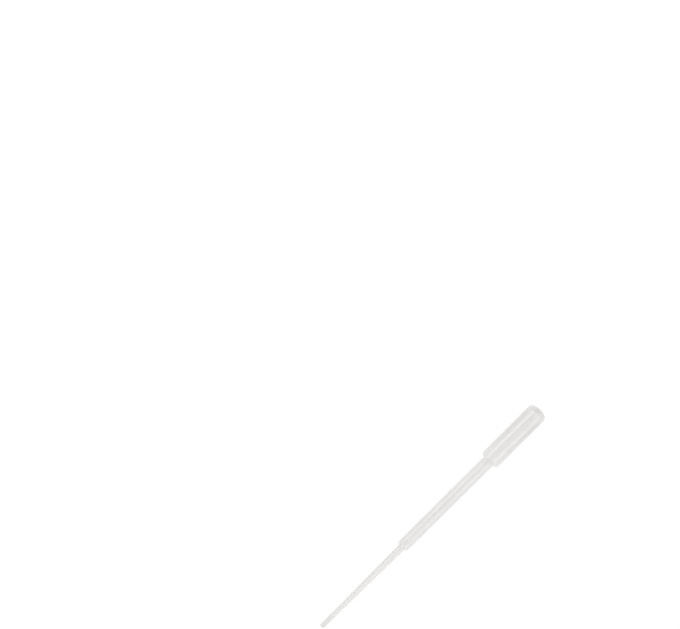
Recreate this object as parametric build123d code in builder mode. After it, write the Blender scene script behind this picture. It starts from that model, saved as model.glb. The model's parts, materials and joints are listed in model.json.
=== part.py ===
from build123d import *
from math import asin, atan2, cos, degrees, hypot, radians, sin, sqrt, tan
import os

# A dropper pipette, blow-moulded in one piece from soft polyethylene: a closed squeeze bulb, a barrel
# and a tapered tip with an open end, all on one axis. It lies on a level surface as it comes to rest,
# on the shoulder of its bulb and the end of its tip. +X runs from the tip to the bulb and +Z is up.
# The origin is on the surface, under the middle of the pipette. All sizes are in millimetres.

# Lengths along the axis. Each tube begins at the foot of the shoulder that widens into it.
tip_length = 57.0
barrel_length = 61.4
bulb_length = 36.6
nozzle_length = 12.5  # the straight end of the tip, which fits a narrow neck

# Outside diameters
nozzle_diameter = 2.7
tip_root_diameter = 3.9
barrel_diameter = 6.3
bulb_diameter = 10.4

# The closed end of the bulb: a flat crown, and the round knuckle between it and the side
crown_rise = 1.55  # how far the crown would rise above the side if they met at a sharp corner
knuckle_radius = 2.5

# Walls: the parison is blown thinnest where the mould is widest, and left thick at the closed end.
tip_wall = 0.7
barrel_wall = 0.55
bulb_wall = 0.45
crown_wall = 0.9

# Shoulders: how far each sloping face runs along the axis, and its outside rounds at the wide end
# (the knee) and at the narrow end (the foot)
barrel_shoulder_run = 0.4
barrel_knee_radius = 0.75
barrel_foot_radius = 0.5
bulb_shoulder_run = 0.5
bulb_knee_radius = 1.3
bulb_foot_radius = 0.6

# The fine ridge that the two halves of the mould leave along both sides of the barrel and the bulb, and
# over the crown. The tip has none, so that it slides into a narrow neck.
seam_height = 0.08
seam_width = 0.3
seam_turn = 14.0  # degrees round the axis from the lowest line of the pipette to the nearer ridge

# Stations along the axis, from the open end of the tip
barrel_foot = tip_length
bulb_foot = barrel_foot + barrel_length
crown_top = bulb_foot + bulb_length

# The crown is part of a sphere about a point on the axis
crown_radius = ((bulb_diameter / 2) ** 2 + crown_rise**2) / (2 * crown_rise)
crown_centre = crown_top - crown_radius


def knee_centre(foot, run, narrow_radius, wide_radius, knee_radius):
    """The centre of a shoulder's outside knee: its station, and its distance from the axis."""
    slope = atan2(wide_radius - narrow_radius, run)
    station = foot + run + knee_radius * tan(slope / 2)
    return station, wide_radius - knee_radius


def lean_between(narrow_end, wide_end):
    """The angle between the axis and a surface that touches two rounds, each a (centre, radius)."""
    (narrow_centre, narrow_radius), (wide_centre, wide_radius) = narrow_end, wide_end
    along = wide_centre[0] - narrow_centre[0]
    out = wide_centre[1] - narrow_centre[1]
    return atan2(out, along) + asin((wide_radius - narrow_radius) / hypot(along, out))


def along_ridge(knee):
    """The round that the lower ridge makes over a knee, seen square to the upright plane."""
    (station, out), radius = knee
    turned = radians(seam_turn)
    ridge_edge = seam_width / 2 * sin(turned)
    return (station, out * cos(turned) + ridge_edge), (radius + seam_height) * cos(turned)


# The rounds that can touch the surface: the sharp edge of the mouth, and each knee and the ridge over it
mouth_edge = (0, nozzle_diameter / 2), 0
barrel_knee_centre = knee_centre(
    barrel_foot, barrel_shoulder_run, tip_root_diameter / 2, barrel_diameter / 2, barrel_knee_radius
)
bulb_knee_centre = knee_centre(
    bulb_foot, bulb_shoulder_run, barrel_diameter / 2, bulb_diameter / 2, bulb_knee_radius
)
barrel_knee = barrel_knee_centre, barrel_knee_radius
bulb_knee = bulb_knee_centre, bulb_knee_radius
narrow_end = [mouth_edge, barrel_knee, along_ridge(barrel_knee)]
wide_end = [bulb_knee, along_ridge(bulb_knee)]

# The resting pose: the surface touches the furthest out at each end
lean = max(min(lean_between(narrow, wide) for narrow in narrow_end) for wide in wide_end)
mouth_height = max(radius + out * cos(lean) - station * sin(lean) for (station, out), radius in wide_end)

# The middle of the length is half way along X from the mouth's upper edge to the far side of the crown.
crown_reach = crown_centre * cos(lean) + crown_radius + seam_height
mouth_reach = -(nozzle_diameter / 2) * sin(lean)
mouth = Vector(-(crown_reach + mouth_reach) / 2, 0, mouth_height)
axis_direction = Vector(cos(lean), 0, sin(lean))

# The outline is drawn in the mould's parting plane, whose local X is the pipette's axis.
pipette_axis = Axis(mouth, axis_direction)
parting_normal = Vector(0, -1, 0).rotate(pipette_axis, -seam_turn)
parting_plane = Plane(origin=mouth, x_dir=axis_direction, z_dir=parting_normal)


def half_outline(tip_inset, barrel_inset, bulb_inset, crown_inset):
    """The pipette's lengthwise section from the axis outwards, each zone set in by its own amount.

    No inset gives the outside, the walls give the cavity, and a negative one stands out from it all.
    """
    nozzle_radius = nozzle_diameter / 2 - tip_inset
    tip_root_radius = tip_root_diameter / 2 - tip_inset
    barrel_radius = barrel_diameter / 2 - barrel_inset
    bulb_radius = bulb_diameter / 2 - bulb_inset
    dome_radius = crown_radius - crown_inset
    dome_corner = (crown_centre + sqrt(dome_radius**2 - bulb_radius**2), bulb_radius)
    corners = [
        (0, 0),
        (0, nozzle_radius),
        (nozzle_length, nozzle_radius),
        (barrel_foot + tip_inset, tip_root_radius),
        (barrel_foot + tip_inset + barrel_shoulder_run, barrel_radius),
        (bulb_foot + barrel_inset, barrel_radius),
        (bulb_foot + barrel_inset + bulb_shoulder_run, bulb_radius),
        dome_corner,
    ]
    rounds = [
        0,
        0,
        barrel_foot_radius + tip_inset,
        max(barrel_knee_radius - barrel_inset, 0),
        bulb_foot_radius + barrel_inset,
        max(bulb_knee_radius - bulb_inset, 0),
    ]
    with BuildSketch() as section:
        with BuildLine():
            FilletPolyline(*corners, radius=rounds)
            RadiusArc(dome_corner, (crown_centre + dome_radius, 0), dome_radius)
            Line((crown_centre + dome_radius, 0), (0, 0))
        make_face()
        widest_corners = section.vertices().group_by(Axis.Y)[-1]
        fillet(widest_corners.sort_by(Axis.X)[-1], knuckle_radius - bulb_inset)
    return section.sketch


with BuildPart() as pipette:
    # the outside, turned about the axis
    with BuildSketch(parting_plane):
        add(half_outline(0, 0, 0, 0))
    revolve(axis=pipette_axis)

    # the parting line: a thin plate of the same outline, just proud of it, and just inside it on the tip
    with BuildSketch(parting_plane):
        plate = half_outline(seam_height, -seam_height, -seam_height, -seam_height)
        add(plate)
        mirror(plate, about=Plane.XZ)
    extrude(amount=seam_width / 2, both=True)

    # the cavity, from the open tip to the closed crown
    with BuildSketch(parting_plane):
        add(half_outline(tip_wall, barrel_wall, bulb_wall, crown_wall))
    revolve(axis=pipette_axis, mode=Mode.SUBTRACT)

pipette.part.label = "pipette"

os.makedirs("parts", exist_ok=True)
export_step(pipette.part, "parts/pipette.step")

print(f"leans {degrees(lean):.3f} degrees, mouth at {mouth.X:.3f}, {mouth.Z:.3f}")
print(f"volume {pipette.part.volume:.2f} mm3, centre {pipette.part.center(CenterOf.MASS)}")
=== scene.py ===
import json
from math import asin, atan2, cos, pi, radians, sin, sqrt, tan

import bmesh
import bpy
from mathutils import Matrix, Vector


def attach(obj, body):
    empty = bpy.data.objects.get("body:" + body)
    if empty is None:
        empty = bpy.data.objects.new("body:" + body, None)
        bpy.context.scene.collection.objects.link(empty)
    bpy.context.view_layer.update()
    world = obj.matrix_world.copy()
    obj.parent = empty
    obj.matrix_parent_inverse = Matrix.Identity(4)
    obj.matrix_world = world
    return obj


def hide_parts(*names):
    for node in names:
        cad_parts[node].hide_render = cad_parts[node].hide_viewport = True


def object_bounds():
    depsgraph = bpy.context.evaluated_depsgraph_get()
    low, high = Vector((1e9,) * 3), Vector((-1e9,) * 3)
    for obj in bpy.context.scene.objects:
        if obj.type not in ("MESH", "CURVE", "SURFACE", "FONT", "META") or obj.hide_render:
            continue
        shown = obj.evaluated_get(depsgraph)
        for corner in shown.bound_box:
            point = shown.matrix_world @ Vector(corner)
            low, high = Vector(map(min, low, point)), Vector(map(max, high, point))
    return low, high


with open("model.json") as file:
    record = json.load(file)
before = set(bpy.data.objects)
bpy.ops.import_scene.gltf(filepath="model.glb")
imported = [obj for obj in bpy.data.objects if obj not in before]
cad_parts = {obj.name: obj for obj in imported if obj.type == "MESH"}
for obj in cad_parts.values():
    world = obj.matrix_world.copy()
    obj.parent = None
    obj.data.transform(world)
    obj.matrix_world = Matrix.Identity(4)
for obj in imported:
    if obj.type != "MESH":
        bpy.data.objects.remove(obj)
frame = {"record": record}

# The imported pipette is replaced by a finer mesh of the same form, in a milky, translucent polyethylene.
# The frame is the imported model's: +X from the tip to the bulb, +Z up, the surface it lies on at Z = 0.

MM = 0.001

cad_low, cad_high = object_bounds()


# ---------------------------------------------------------------- the pipette's own line and its sizes

mouth_mount = next(m for m in frame["record"]["mounts"] if m["name"] == "tip_orifice")
MOUTH = Vector(mouth_mount["pos_m"])
ALONG = -Vector(mouth_mount["axis"]).normalized()

# Lengths along the axis, from the open end of the tip
TIP_LENGTH = 57.0 * MM
BARREL_LENGTH = 61.4 * MM
BULB_LENGTH = 36.6 * MM
NOZZLE_LENGTH = 12.5 * MM
BULB_START = TIP_LENGTH + BARREL_LENGTH
CROWN_TOP = BULB_START + BULB_LENGTH

# Outside radii
NOZZLE_RADIUS = 1.35 * MM
TIP_ROOT_RADIUS = 1.95 * MM
BARREL_RADIUS = 3.15 * MM
BULB_RADIUS = 5.2 * MM

# The closed end: a flat crown, part of a sphere about a point on the axis, and the knuckle round it
CROWN_RISE = 1.55 * MM
KNUCKLE_RADIUS = 2.5 * MM
CROWN_RADIUS = (BULB_RADIUS**2 + CROWN_RISE**2) / (2 * CROWN_RISE)
CROWN_CENTRE = CROWN_TOP - CROWN_RADIUS

# Walls
TIP_WALL = 0.7 * MM
BARREL_WALL = 0.55 * MM
BULB_WALL = 0.45 * MM
CROWN_WALL = 0.9 * MM

# Shoulders: how far each slope runs along the axis, and the rounds at its wide and its narrow end
BARREL_SHOULDER_RUN = 0.4 * MM
BARREL_KNEE_RADIUS = 0.75 * MM
BARREL_FOOT_RADIUS = 0.5 * MM
BULB_SHOULDER_RUN = 0.5 * MM
BULB_KNEE_RADIUS = 1.3 * MM
BULB_FOOT_RADIUS = 0.6 * MM
LEAST_RADIUS = 0.02 * MM  # of a knee in the cavity, where the wall takes nearly all of it up

# The mould's parting line, on the barrel, the bulb and the crown
SEAM_HEIGHT = 0.08 * MM
SEAM_WIDTH = 0.3 * MM
SEAM_TURN = radians(14.0)  # from the top of the pipette to the upper ridge
SEAM_START = TIP_LENGTH + 0.5 * MM
SEAM_FULL = TIP_LENGTH + 1.5 * MM

CUT_EDGE = 0.06 * MM  # how far the cut end of the tip is eased

# How many pieces each stretch of the section is divided into
NOZZLE_PIECES, TIP_PIECES, BARREL_PIECES, BULB_PIECES = 6, 16, 22, 12
ROUND_PIECES, SLOPE_PIECES = 10, 3
KNUCKLE_PIECES, CROWN_PIECES = 16, 14
CUT_PIECES = 4

# Columns of faces round the axis: a degree apart on each side of a parting line, and even in between
CLOSE_REACH = radians(7.0)
CLOSE_STEP = radians(1.0)
COLUMNS_BETWEEN = 50


# ---------------------------------------------------------------- the plastic

REFRACTIVE_INDEX = 1.51

# A thick wall is cloudier and a little greyer than a thin one. Clearness is the share of the light that
# goes into the wall without being scattered.
THIN_COLOUR = (0.843, 0.836, 0.822, 1)
THICK_COLOUR = (0.802, 0.795, 0.783, 1)
THIN_CLEARNESS = 0.38
THICK_CLEARNESS = 0.20

# How thick each zone looks, from 0 for a thin wall to 1 for a thick one, what the clouds add to it, and
# where the barrel and the bulb thin out
TIP_THICKNESS = 1.0
BARREL_THICKNESS = 0.3
BULB_THICKNESS = 0.0
CLOUD_THICKNESS = (-0.4, 0.4)
BARREL_THINS = (TIP_LENGTH - 1 * MM, TIP_LENGTH + 1 * MM)
BULB_THINS = (BULB_START, BULB_START + 2 * MM)

# The sharp turns of the two shoulders. Round about, the plastic is made cloudy as in a thick wall, partly
# real and partly painted light over the shade the shoulders fall in; at the turn its colour is painted
# whitest, as painted light over that shade.
TURN_STATIONS = (TIP_LENGTH + 0.4 * MM, BULB_START + 0.6 * MM)
TURN_THICK_REACH = (1.0 * MM, 3.0 * MM)
TURN_PAINTED_LIGHT_REACH = (0.3 * MM, 1.1 * MM)
TURN_PAINTED_LIGHT = 1.6

# The bulb grows greyer towards its crown, and the crown itself is cloudier.
CROWN_GREY_ZONE = (CROWN_TOP - 24 * MM, CROWN_TOP - 10 * MM)
CROWN_GREYNESS = 0.55
CROWN_CLOUDY_ZONE = (CROWN_TOP - 7 * MM, CROWN_TOP - 1 * MM)
CROWN_CLEARNESS = -0.1

# Noise: how wide its blotches are across the pipette, how long along it, and its detail
DRAW_LINES = (0.5 * MM, 35 * MM, 3.0)
CLOUDS = (3.5 * MM, 9 * MM, 3.0)
WAVES = (5 * MM, 22 * MM, 1.0)
GRAIN = (0.22 * MM, 0.22 * MM, 3.0)
NOISE_RANGE = (0.3, 0.7)  # where nearly all of it lies

# How deep each noise goes as bump
WAVE_DEPTH = 0.06 * MM
DRAW_LINE_DEPTH = 0.018 * MM
GRAIN_DEPTH = 0.0025 * MM

# Roughness, and what the noises and the marks of mould and knife add to it
ROUGHNESS = 0.3
DRAW_LINE_ROUGHNESS = (-0.012, 0.05)
GRAIN_ROUGHNESS = (-0.005, 0.02)
MARK_ROUGHNESS = 0.15

# What the draw lines, the parting line and the cut end add to the clearness
DRAW_LINE_CLEARNESS = (0.12, -0.12)
# the parting line's added clearness draws a fine dark line, partly painted shade of its ridge
SEAM_SHADE_CLEARNESS = 0.3
CUT_CLEARNESS = -0.2

# The marks of the mould and the knife: how far each reaches in full, and at all
SEAM_REACH = (0.4 * SEAM_WIDTH, 0.7 * SEAM_WIDTH)
CUT_REACH = (CUT_EDGE, 2 * CUT_EDGE)

# Painted shade and highlight on the tip, as clearer and milkier streaks. A painted dark edge runs at a
# distance from the parting plane that grows along the tip, from a least one at the mouth. A milky painted
# highlight lies beside it, and near the mouth a second clear painted dark edge.
DARK_EDGE_START = 0.12 * MM
DARK_EDGE_SPREAD = 0.0132
DARK_EDGE_LEAST = 0.38 * MM
PAINTED_LINE_REACH = (0.1 * MM, 0.45 * MM)
PAINTED_LINE_CLEARNESS = 0.35
PAINTED_HIGHLIGHT_AWAY = -0.8 * MM
PAINTED_HIGHLIGHT_SHARE = -0.5
SECOND_DARK_EDGE_AWAY = -1.3 * MM
SECOND_DARK_EDGE_REACH = (0.05 * MM, 0.4 * MM)
SECOND_DARK_EDGE_SHARE = 0.8
SECOND_DARK_EDGE_FADE = (15 * MM, 28 * MM)
PAINTED_LINES_FADE = (TIP_LENGTH - 2 * MM, TIP_LENGTH)


# ---------------------------------------------------------------- the floor, the sky and the lamps

WHITE = (1, 1, 1, 1)

FLOOR_HALF = 4.0
FLOOR_COLOUR = (0.9, 0.9, 0.9, 1)
PAPER_LEVEL = 1.035  # how bright the floor is where it is seen as plain paper
PAPER_SHARE = 0.88  # how much of the floor is seen so, the rest showing the shadow

# The sky's strength low down and overhead
SKY_HORIZON = 1.4
SKY_OVERHEAD = 0.35

# The lamps, one on each side of the pipette, in metres and watts, with their angles from straight up
LAMP_DISTANCE = 0.6
LAMP_LENGTH = 0.30
KEY_ANGLE, KEY_WIDTH, KEY_POWER = radians(46), 0.07, 0.9
FILL_ANGLE, FILL_WIDTH, FILL_POWER = radians(-51), 0.34, 0.95


# ---------------------------------------------------------------- the camera

FRAME_WIDTH = 341.6 * MM  # what the picture is wide, at the height of the pipette
PIPETTE_TURN = radians(44.86)  # the pipette's line in the picture, up from level
PIPETTE_RIGHT = 45.68 * MM  # the pipette's middle, from the middle of the picture
PIPETTE_BELOW = 102.47 * MM
LENS = 200.0
SENSOR = 36.0


def make_camera():
    """Looks straight down, through a long lens, with the pipette's line up to the right."""
    data = bpy.data.cameras.new("camera")
    data.lens = LENS
    data.sensor_width = SENSOR
    camera = bpy.data.objects.new("camera", data)
    bpy.context.scene.collection.objects.link(camera)
    middle = (cad_low + cad_high) / 2
    picture_right = Vector((cos(PIPETTE_TURN), -sin(PIPETTE_TURN), 0))
    picture_up = Vector((sin(PIPETTE_TURN), cos(PIPETTE_TURN), 0))
    distance = FRAME_WIDTH * LENS / SENSOR
    place = middle - PIPETTE_RIGHT * picture_right + PIPETTE_BELOW * picture_up
    camera.location = place + Vector((0, 0, distance))
    axes = Matrix((picture_right, picture_up, Vector((0, 0, 1)))).transposed()
    camera.rotation_euler = axes.to_euler()
    data.clip_end = 10 * distance
    bpy.context.scene.camera = camera


# ---------------------------------------------------------------- the mesh

def run(start, end, pieces):
    """Points from start to end, without the last one."""
    return [
        (start[0] + (end[0] - start[0]) * i / pieces, start[1] + (end[1] - start[1]) * i / pieces)
        for i in range(pieces)
    ]


def turn(centre, radius, first, last, pieces):
    """Points along an arc from one direction to another, without the last one."""
    points = []
    for i in range(pieces):
        angle = first + (last - first) * i / pieces
        points.append((centre[0] + radius * cos(angle), centre[1] + radius * sin(angle)))
    return points


def shoulder(foot, shoulder_run, narrow, wide, foot_radius, knee_radius):
    """A sloping face between two tubes, rounded at its foot and its knee: points from one to the other."""
    slope = atan2(wide - narrow, shoulder_run)
    foot_back = foot_radius * tan(slope / 2)
    knee_on = knee_radius * tan(slope / 2)
    foot_centre = (foot - foot_back, narrow + foot_radius)
    knee_centre = (foot + shoulder_run + knee_on, wide - knee_radius)
    slope_start = (foot_centre[0] + foot_radius * sin(slope), foot_centre[1] - foot_radius * cos(slope))
    slope_end = (knee_centre[0] - knee_radius * sin(slope), knee_centre[1] + knee_radius * cos(slope))

    points = turn(foot_centre, foot_radius, -pi / 2, slope - pi / 2, ROUND_PIECES)
    points += run(slope_start, slope_end, SLOPE_PIECES)
    points += turn(knee_centre, knee_radius, slope + pi / 2, pi / 2, ROUND_PIECES)
    points.append((knee_centre[0], wide))
    return points


def outline(tip_inset, barrel_inset, bulb_inset, crown_inset):
    """The section from the nozzle's end to the pole of the crown, each zone set in by its own amount."""
    nozzle = NOZZLE_RADIUS - tip_inset
    root = TIP_ROOT_RADIUS - tip_inset
    barrel = BARREL_RADIUS - barrel_inset
    bulb = BULB_RADIUS - bulb_inset
    dome = CROWN_RADIUS - crown_inset
    knuckle = KNUCKLE_RADIUS - bulb_inset

    barrel_shoulder = shoulder(
        TIP_LENGTH + tip_inset, BARREL_SHOULDER_RUN, root, barrel,
        BARREL_FOOT_RADIUS + tip_inset, max(BARREL_KNEE_RADIUS - barrel_inset, LEAST_RADIUS),
    )
    bulb_shoulder = shoulder(
        BULB_START + barrel_inset, BULB_SHOULDER_RUN, barrel, bulb,
        BULB_FOOT_RADIUS + barrel_inset, max(BULB_KNEE_RADIUS - bulb_inset, LEAST_RADIUS),
    )
    knuckle_centre = (
        CROWN_CENTRE + sqrt((dome - knuckle) ** 2 - (bulb - knuckle) ** 2),
        bulb - knuckle,
    )
    crown_angle = asin((bulb - knuckle) / (dome - knuckle))

    points = run((0, nozzle), (NOZZLE_LENGTH, nozzle), NOZZLE_PIECES)
    points += run((NOZZLE_LENGTH, nozzle), barrel_shoulder[0], TIP_PIECES)
    points += barrel_shoulder[:-1]
    points += run(barrel_shoulder[-1], bulb_shoulder[0], BARREL_PIECES)
    points += bulb_shoulder[:-1]
    points += run(bulb_shoulder[-1], (knuckle_centre[0], bulb), BULB_PIECES)
    points += turn(knuckle_centre, knuckle, pi / 2, crown_angle, KNUCKLE_PIECES)
    points += turn((CROWN_CENTRE, 0), dome, crown_angle, 0, CROWN_PIECES)
    points.append((CROWN_CENTRE + dome, 0))
    return points


def column_angles():
    """Directions round the axis, close together at the two parting lines and even elsewhere."""
    half_turn = [-CLOSE_REACH + i * CLOSE_STEP for i in range(round(2 * CLOSE_REACH / CLOSE_STEP))]
    free = pi - 2 * CLOSE_REACH
    half_turn += [CLOSE_REACH + free * i / COLUMNS_BETWEEN for i in range(COLUMNS_BETWEEN)]
    return half_turn + [pi + angle for angle in half_turn]


def seam_rise(station, away):
    """How far the parting line stands out, at a distance from the parting plane."""
    if abs(away) >= SEAM_WIDTH / 2:
        return 0.0
    grown = min(max((station - SEAM_START) / (SEAM_FULL - SEAM_START), 0.0), 1.0)
    return grown * SEAM_HEIGHT * cos(pi * away / SEAM_WIDTH) ** 2


def pipette_frame():
    """The pipette's own axes: X along it from the mouth, Z to the upper ridge, Y square to both."""
    across = Vector((0, 1, 0))
    up = ALONG.cross(across)
    ridge = up * cos(SEAM_TURN) + across * sin(SEAM_TURN)
    axes = Matrix((ALONG, ridge.cross(ALONG), ridge)).transposed()
    return Matrix.Translation(MOUTH) @ axes.to_4x4()


def skin_profile():
    """The whole section: the cavity from its pole to the mouth, the cut end, and the outside to its pole.

    Returned with the number of the last point inside and of the first one outside.
    """
    outside = outline(0, 0, 0, 0)
    cavity = outline(TIP_WALL, BARREL_WALL, BULB_WALL, CROWN_WALL)
    wall_in, wall_out = cavity[0][1], outside[0][1]
    cut_end = turn((CUT_EDGE, wall_in + CUT_EDGE), CUT_EDGE, 3 * pi / 2, pi, CUT_PIECES)
    cut_end += turn((CUT_EDGE, wall_out - CUT_EDGE), CUT_EDGE, pi, pi / 2, CUT_PIECES)
    profile = cavity[::-1][:-1] + cut_end + [(CUT_EDGE, wall_out)] + outside[1:]
    last_inside = len(cavity) - 1
    return profile, last_inside, last_inside + len(cut_end)


def make_body():
    """Turns the section about the axis as one closed skin, with the parting line on its outside.

    The cavity's faces have the second material.
    """
    profile, last_inside, first_outside = skin_profile()
    angles = column_angles()
    mesh = bmesh.new()
    rings = []
    for k, (station, radius) in enumerate(profile):
        is_outside = k >= first_outside
        if k in (0, len(profile) - 1):
            rise = SEAM_HEIGHT if is_outside else 0.0
            rings.append([mesh.verts.new((station + rise, 0, 0))])
            continue
        before, after = profile[k - 1], profile[k + 1]
        normal = Vector((before[1] - after[1], after[0] - before[0])).normalized()
        ring = []
        for angle in angles:
            rise = seam_rise(station, radius * sin(angle)) if is_outside else 0.0
            out = radius + normal.y * rise
            ring.append(mesh.verts.new((station + normal.x * rise, out * sin(angle), out * cos(angle))))
        rings.append(ring)

    for k, (one, two) in enumerate(zip(rings, rings[1:])):
        for i in range(len(angles)):
            j = (i + 1) % len(angles)
            if len(one) == 1:
                corners = (one[0], two[j], two[i])
            elif len(two) == 1:
                corners = (one[i], one[j], two[0])
            else:
                corners = (one[i], one[j], two[j], two[i])
            face = mesh.faces.new(corners)
            face.material_index = 1 if k < last_inside else 0
            face.smooth = True
    bmesh.ops.recalc_face_normals(mesh, faces=mesh.faces)
    mesh.transform(pipette_frame())

    data = bpy.data.meshes.new("moulded_body")
    mesh.to_mesh(data)
    mesh.free()
    body = bpy.data.objects.new("moulded_body", data)
    bpy.context.scene.collection.objects.link(body)
    return body


# ---------------------------------------------------------------- shader nodes

def add_node(tree, kind, inputs, **settings):
    """A new shader node. Its inputs are given by name or number, as values or as other nodes' outputs."""
    node = tree.nodes.new(kind)
    for name, value in settings.items():
        setattr(node, name, value)
    for key, value in inputs.items():
        if isinstance(value, bpy.types.NodeSocket):
            tree.links.new(value, node.inputs[key])
        else:
            node.inputs[key].default_value = value
    return node


def math_node(tree, operation, *values):
    return add_node(tree, "ShaderNodeMath", dict(enumerate(values)), operation=operation).outputs[0]


def spread(tree, noise, low, high):
    """Noise spread over a range of values."""
    ranged = add_node(tree, "ShaderNodeMapRange", {
        "Value": noise, "From Min": NOISE_RANGE[0], "From Max": NOISE_RANGE[1],
        "To Min": low, "To Max": high,
    })
    return ranged.outputs["Result"]


def eased(tree, value, start, end, low, high):
    """Goes smoothly from low to high while a value goes from start to end."""
    ranged = add_node(tree, "ShaderNodeMapRange", {
        "Value": value, "From Min": start, "From Max": end, "To Min": low, "To Max": high,
    }, interpolation_type="SMOOTHSTEP")
    return ranged.outputs["Result"]


def near(tree, value, middle, full, reach):
    """1 where a value is nearly a given one, and 0 out of its reach."""
    away = math_node(tree, "ABSOLUTE", math_node(tree, "SUBTRACT", value, middle))
    return eased(tree, away, full, reach, 1.0, 0.0)


def mixed_colour(tree, share, first, second):
    """One colour at a share of 0, and another at 1. The node has its colours in sockets 6, 7 and 2."""
    return add_node(tree, "ShaderNodeMix", {0: share, 6: first, 7: second}, data_type="RGBA").outputs[2]


def mixed_shader(tree, share, first, second):
    """One shader at a share of 0, and another at 1."""
    blend = add_node(tree, "ShaderNodeMixShader", {0: share, 1: first.outputs[0], 2: second.outputs[0]})
    return blend.outputs[0]


def raised(tree, height, depth, normal=None):
    """Bump of a given depth in metres, over a normal that may have bump already."""
    inputs = {"Height": height, "Strength": 1.0, "Distance": depth}
    if normal:
        inputs["Normal"] = normal
    return add_node(tree, "ShaderNodeBump", inputs).outputs["Normal"]


# ---------------------------------------------------------------- the plastic's material

def own_place(tree):
    """Where a point lies in the pipette's own axes, in metres, with X along it from the mouth."""
    stand = pipette_frame()
    coordinates = add_node(tree, "ShaderNodeTexCoord", {})
    mapping = add_node(tree, "ShaderNodeMapping", {
        "Vector": coordinates.outputs["Object"],
        "Location": stand.translation,
        "Rotation": stand.to_euler(),
    }, vector_type="TEXTURE")
    return mapping.outputs[0]


def mottle(tree, place, size, length, detail):
    """Smooth noise around 0.5, with blotches of a given size across the pipette and length along it."""
    drawn_out = add_node(tree, "ShaderNodeMapping", {"Vector": place, "Scale": (size / length, 1, 1)})
    noise = add_node(tree, "ShaderNodeTexNoise", {
        "Vector": drawn_out.outputs[0], "Scale": 1 / size, "Detail": detail,
    })
    return noise.outputs["Fac"]


def wall_look(tree, station, clouds):
    """How thick the wall looks, and how grey, each from 0 as in a thin wall to 1 as in a thick one. At the
    shoulders' turns the grey is painted down towards white, as painted light over their shade.
    """
    thick = math_node(
        tree, "ADD",
        eased(tree, station, *BARREL_THINS, TIP_THICKNESS, BARREL_THICKNESS),
        eased(tree, station, *BULB_THINS, 0.0, BULB_THICKNESS - BARREL_THICKNESS),
    )
    turns = 0.0
    for middle in TURN_STATIONS:
        # round each turn the wall is made to look thick, partly as painted light over the shoulders'
        # shade, and the turn itself is painted whiter
        thick = math_node(tree, "MAXIMUM", thick, near(tree, station, middle, *TURN_THICK_REACH))
        turns = math_node(tree, "ADD", turns, near(tree, station, middle, *TURN_PAINTED_LIGHT_REACH))
    thick = math_node(tree, "ADD", thick, spread(tree, clouds, *CLOUD_THICKNESS))

    grey = math_node(tree, "ADD", thick, eased(tree, station, *CROWN_GREY_ZONE, 0.0, CROWN_GREYNESS))
    # the turns are painted whiter: painted light over the shoulders' shade
    grey = math_node(tree, "MULTIPLY_ADD", turns, -TURN_PAINTED_LIGHT, grey)
    return thick, grey


def painted_tip_lines(tree, station, across):
    """Painted shade and highlight on the tip: above 0 where the plastic is clearer, for the painted dark
    edges, below 0 where it is milkier, for the painted highlight.
    """
    dark_edge_line = math_node(tree, "MULTIPLY_ADD", station, DARK_EDGE_SPREAD, DARK_EDGE_START)
    dark_edge_line = math_node(tree, "MAXIMUM", dark_edge_line, DARK_EDGE_LEAST)
    away = math_node(tree, "SUBTRACT", across, dark_edge_line)
    # first is the painted dark edge, milky the painted highlight beside it, second the painted dark edge
    # near the mouth
    first = near(tree, away, 0.0, *PAINTED_LINE_REACH)
    milky = near(tree, away, PAINTED_HIGHLIGHT_AWAY, *PAINTED_LINE_REACH)
    second = near(tree, away, SECOND_DARK_EDGE_AWAY, *SECOND_DARK_EDGE_REACH)
    near_mouth = eased(tree, station, *SECOND_DARK_EDGE_FADE, SECOND_DARK_EDGE_SHARE, 0.0)
    lines = math_node(tree, "MULTIPLY_ADD", milky, PAINTED_HIGHLIGHT_SHARE, first)
    lines = math_node(tree, "MULTIPLY_ADD", second, near_mouth, lines)
    on_tip = eased(tree, station, *PAINTED_LINES_FADE, PAINTED_LINE_CLEARNESS, 0.0)
    return math_node(tree, "MULTIPLY", lines, on_tip)


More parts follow.
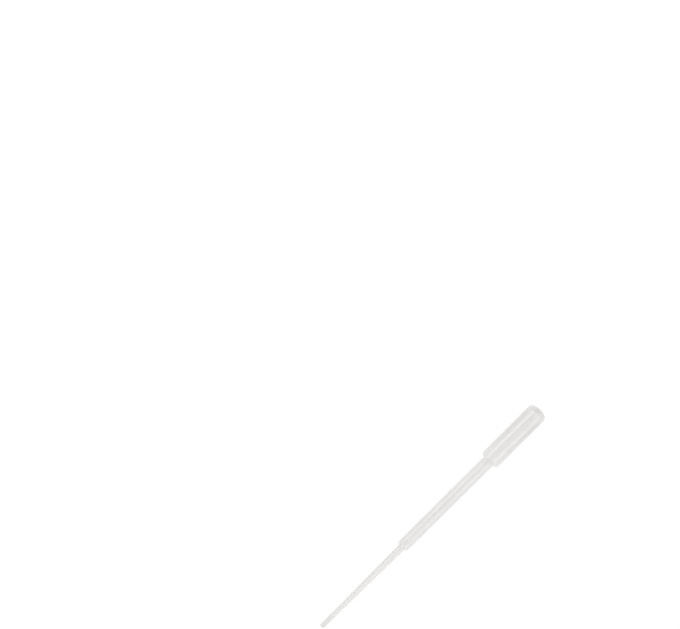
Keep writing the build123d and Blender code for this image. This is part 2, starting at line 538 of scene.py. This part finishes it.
def polyethylene(name, scatters):
    """Undyed low-density polyethylene. It is milky, with the marks of the die, the mould and the knife,
    and with painted shade and a painted highlight along the tip.

    The outer skin scatters light on its way into the wall, and stands for the milkiness of it all. Light
    on its way out, or through the cavity's faces, isn't scattered again.
    """
    material = bpy.data.materials.new(name)
    material.use_nodes = True
    tree = material.node_tree
    shader = tree.nodes["Principled BSDF"]
    shader.inputs["IOR"].default_value = REFRACTIVE_INDEX

    place = own_place(tree)
    axes = add_node(tree, "ShaderNodeSeparateXYZ", {"Vector": place})
    station, across = axes.outputs["X"], axes.outputs["Y"]
    draw_lines = mottle(tree, place, *DRAW_LINES)
    clouds = mottle(tree, place, *CLOUDS)
    waves = mottle(tree, place, *WAVES)
    grain = mottle(tree, place, *GRAIN)

    # the parting line is made clearer, partly as where the plastic is pinched thin and partly as painted
    # shade of its ridge, a fine dark line; the cut end is whiter; both are rougher
    past_tip = math_node(tree, "GREATER_THAN", station, SEAM_FULL)
    seam = math_node(tree, "MULTIPLY", near(tree, across, 0.0, *SEAM_REACH), past_tip)
    cut = near(tree, station, 0.0, *CUT_REACH)
    marks = math_node(tree, "MAXIMUM", seam, cut)

    thick, grey = wall_look(tree, station, clouds)
    tree.links.new(mixed_colour(tree, grey, THIN_COLOUR, THICK_COLOUR), shader.inputs["Base Color"])

    # the gloss is soft, and streaked along by the die
    roughness = math_node(tree, "ADD", ROUGHNESS, spread(tree, draw_lines, *DRAW_LINE_ROUGHNESS))
    roughness = math_node(tree, "ADD", roughness, spread(tree, grain, *GRAIN_ROUGHNESS))
    roughness = math_node(tree, "MULTIPLY_ADD", marks, MARK_ROUGHNESS, roughness)
    tree.links.new(roughness, shader.inputs["Roughness"])

    if scatters:
        clearness = math_node(
            tree, "MULTIPLY_ADD", thick, THICK_CLEARNESS - THIN_CLEARNESS, THIN_CLEARNESS
        )
        clearness = math_node(tree, "ADD", clearness, spread(tree, draw_lines, *DRAW_LINE_CLEARNESS))
        # add the tip's painted dark edges and painted highlight
        clearness = math_node(tree, "ADD", clearness, painted_tip_lines(tree, station, across))
        crown = eased(tree, station, *CROWN_CLOUDY_ZONE, 0.0, CROWN_CLEARNESS)
        clearness = math_node(tree, "ADD", clearness, crown)
        clearness = math_node(tree, "MULTIPLY_ADD", seam, SEAM_SHADE_CLEARNESS, clearness)
        clearness = math_node(tree, "MULTIPLY_ADD", cut, CUT_CLEARNESS, clearness)
        way_out = add_node(tree, "ShaderNodeNewGeometry", {}).outputs["Backfacing"]
        clearness = math_node(tree, "MAXIMUM", clearness, way_out)
        tree.links.new(clearness, shader.inputs["Transmission Weight"])
    else:
        shader.inputs["Transmission Weight"].default_value = 1.0

    normal = raised(tree, waves, WAVE_DEPTH)
    normal = raised(tree, draw_lines, DRAW_LINE_DEPTH, normal)
    normal = raised(tree, grain, GRAIN_DEPTH, normal)
    tree.links.new(normal, shader.inputs["Normal"])
    return material


# ---------------------------------------------------------------- floor, lights and world

def seen_directly(tree):
    """1 for rays from the camera, and for those that get here by a reflection or through the pipette."""
    path = add_node(tree, "ShaderNodeLightPath", {}).outputs
    through_or_off = math_node(tree, "MAXIMUM", path["Is Transmission Ray"], path["Is Glossy Ray"])
    return math_node(tree, "MAXIMUM", path["Is Camera Ray"], through_or_off)


def white_floor():
    """Plain white, and as white in the picture as the paper behind it, with the pipette's soft shadow."""
    material = bpy.data.materials.new("floor")
    material.use_nodes = True
    tree = material.node_tree
    tree.nodes.clear()
    matte = add_node(tree, "ShaderNodeBsdfDiffuse", {"Color": FLOOR_COLOUR})
    paper = add_node(tree, "ShaderNodeEmission", {"Strength": PAPER_LEVEL})
    share = math_node(tree, "MULTIPLY", seen_directly(tree), PAPER_SHARE)
    add_node(tree, "ShaderNodeOutputMaterial", {"Surface": mixed_shader(tree, share, matte, paper)})
    return material


def make_floor():
    data = bpy.data.meshes.new("floor")
    corners = [(x * FLOOR_HALF, y * FLOOR_HALF, 0) for x, y in ((-1, -1), (1, -1), (1, 1), (-1, 1))]
    data.from_pydata(corners, [], [(0, 1, 2, 3)])
    floor = bpy.data.objects.new("floor", data)
    bpy.context.scene.collection.objects.link(floor)
    data.materials.append(white_floor())


def strip_light(name, angle, width, power):
    """A long lamp parallel to the pipette, raised over one side of it, at an angle from straight up."""
    data = bpy.data.lights.new(name, "AREA")
    data.shape = "RECTANGLE"
    data.size, data.size_y = LAMP_LENGTH, width
    data.energy = power
    lamp = bpy.data.objects.new(name, data)
    lamp.visible_transmission = False
    bpy.context.scene.collection.objects.link(lamp)
    away = Vector((0, sin(angle), cos(angle)))
    lamp.location = away * LAMP_DISTANCE
    x_axis = Vector((1, 0, 0))
    lamp.rotation_euler = Matrix((x_axis, away.cross(x_axis), away)).transposed().to_euler()


def make_world():
    """A white sky, brightest low down as in a light tent, and as white as paper where it is seen."""
    world = bpy.data.worlds.new("world")
    bpy.context.scene.world = world
    world.use_nodes = True
    tree = world.node_tree
    direction = add_node(tree, "ShaderNodeTexCoord", {}).outputs["Generated"]
    upward = add_node(tree, "ShaderNodeSeparateXYZ", {"Vector": direction}).outputs["Z"]
    brightness = add_node(tree, "ShaderNodeMapRange", {
        "Value": upward, "To Min": SKY_HORIZON, "To Max": SKY_OVERHEAD,
    })
    sky = tree.nodes["Background"]
    sky.inputs["Color"].default_value = WHITE
    tree.links.new(brightness.outputs["Result"], sky.inputs["Strength"])
    paper = add_node(tree, "ShaderNodeBackground", {"Color": WHITE, "Strength": 1.0})
    surface = tree.nodes["World Output"].inputs["Surface"]
    tree.links.new(mixed_shader(tree, seen_directly(tree), sky, paper), surface)


bpy.context.scene.view_settings.view_transform = "Standard"
make_camera()
make_floor()
make_world()
strip_light("key", KEY_ANGLE, KEY_WIDTH, KEY_POWER)
strip_light("fill", FILL_ANGLE, FILL_WIDTH, FILL_POWER)

body = make_body()
body.data.materials.append(polyethylene("polyethylene", scatters=True))
body.data.materials.append(polyethylene("polyethylene_inside", scatters=False))
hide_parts("pipette")
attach(body, "root")
